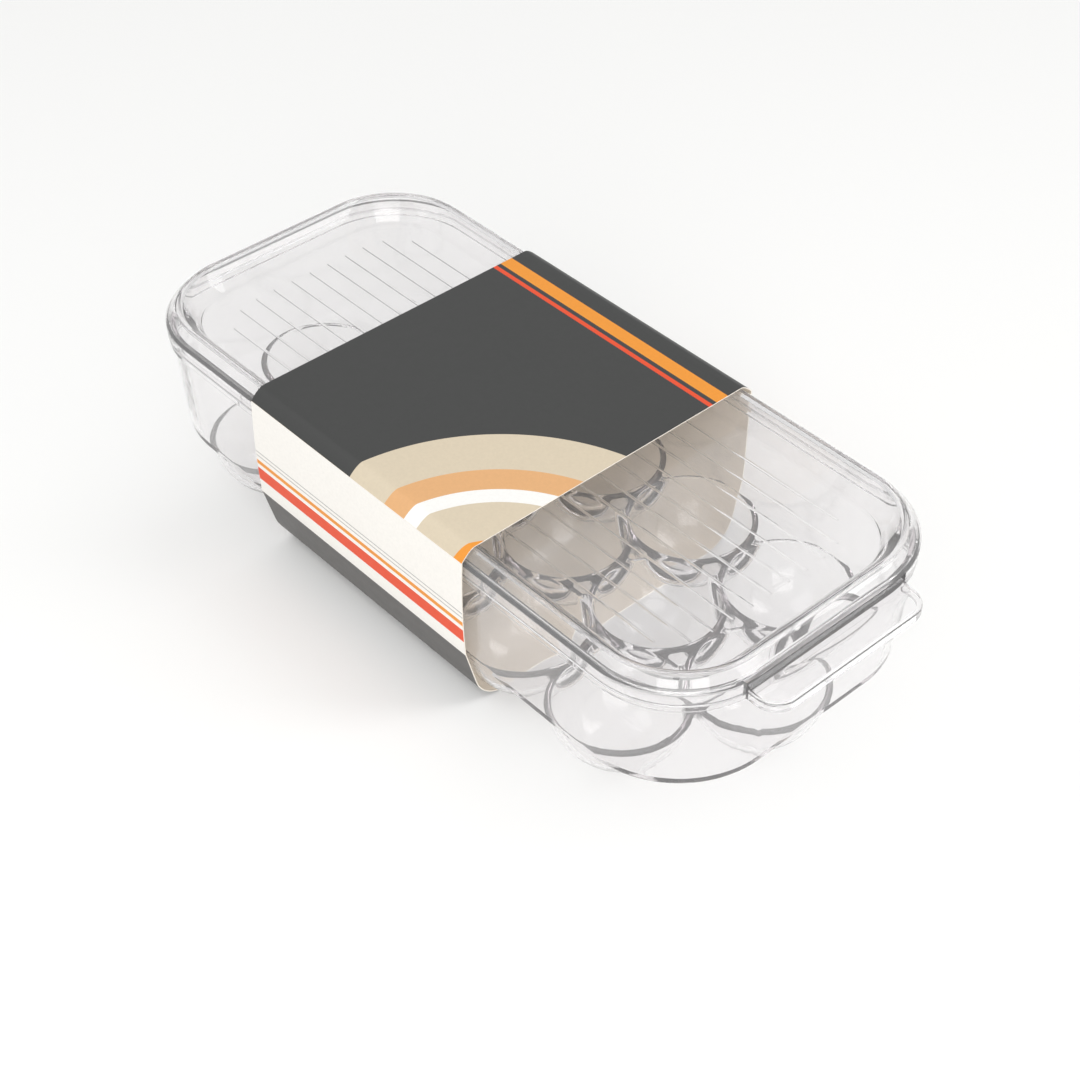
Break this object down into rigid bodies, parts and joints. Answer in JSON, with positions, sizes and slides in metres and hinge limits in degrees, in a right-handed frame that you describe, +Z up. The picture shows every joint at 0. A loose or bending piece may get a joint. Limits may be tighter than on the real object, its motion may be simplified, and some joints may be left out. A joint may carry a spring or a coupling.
{
  "type": "egg storage box",
  "caption": "Clear plastic egg box with staggered cups, a lift-off ribbed lid, an end pull tab and a printed carton band around its middle.",
  "frame": {"origin": "under the middle of the whole object, on the surface that it stands on", "axes": "+X along the box towards the pull tab, +Y across it to the left, +Z up"},
  "size_m": [0.3268, 0.1458, 0.0784],
  "materials": {
    "clear_plastic": "clear, polished",
    "card_dark": "printed, satin",
    "card_light": "printed, satin"
  },
  "bodies": {
    "tray": {"tray": "clear_plastic"},
    "lid": {"lid": "clear_plastic"},
    "sleeve_wrap": {"sleeve_wrap": "card_light"},
    "sleeve_top": {"sleeve_top": "card_dark"}
  },
  "joints": [
    {"name": "lid_lift", "type": "slide", "parent": "tray", "child": "lid", "axis": [0, 0, 1], "range_m": [0, 0.08]},
    {"name": "sleeve_wrap_slide", "type": "slide", "parent": "tray", "child": "sleeve_wrap", "axis": [-1, 0, 0], "range_m": [0, 0.215]},
    {"name": "sleeve_top_slide", "type": "slide", "parent": "lid", "child": "sleeve_top", "axis": [-1, 0, 0], "range_m": [0, 0.215]}
  ],
  "couplings": [
    {"joint": "sleeve_top_slide", "follows": "sleeve_wrap_slide", "ratio": 1}
  ]
}
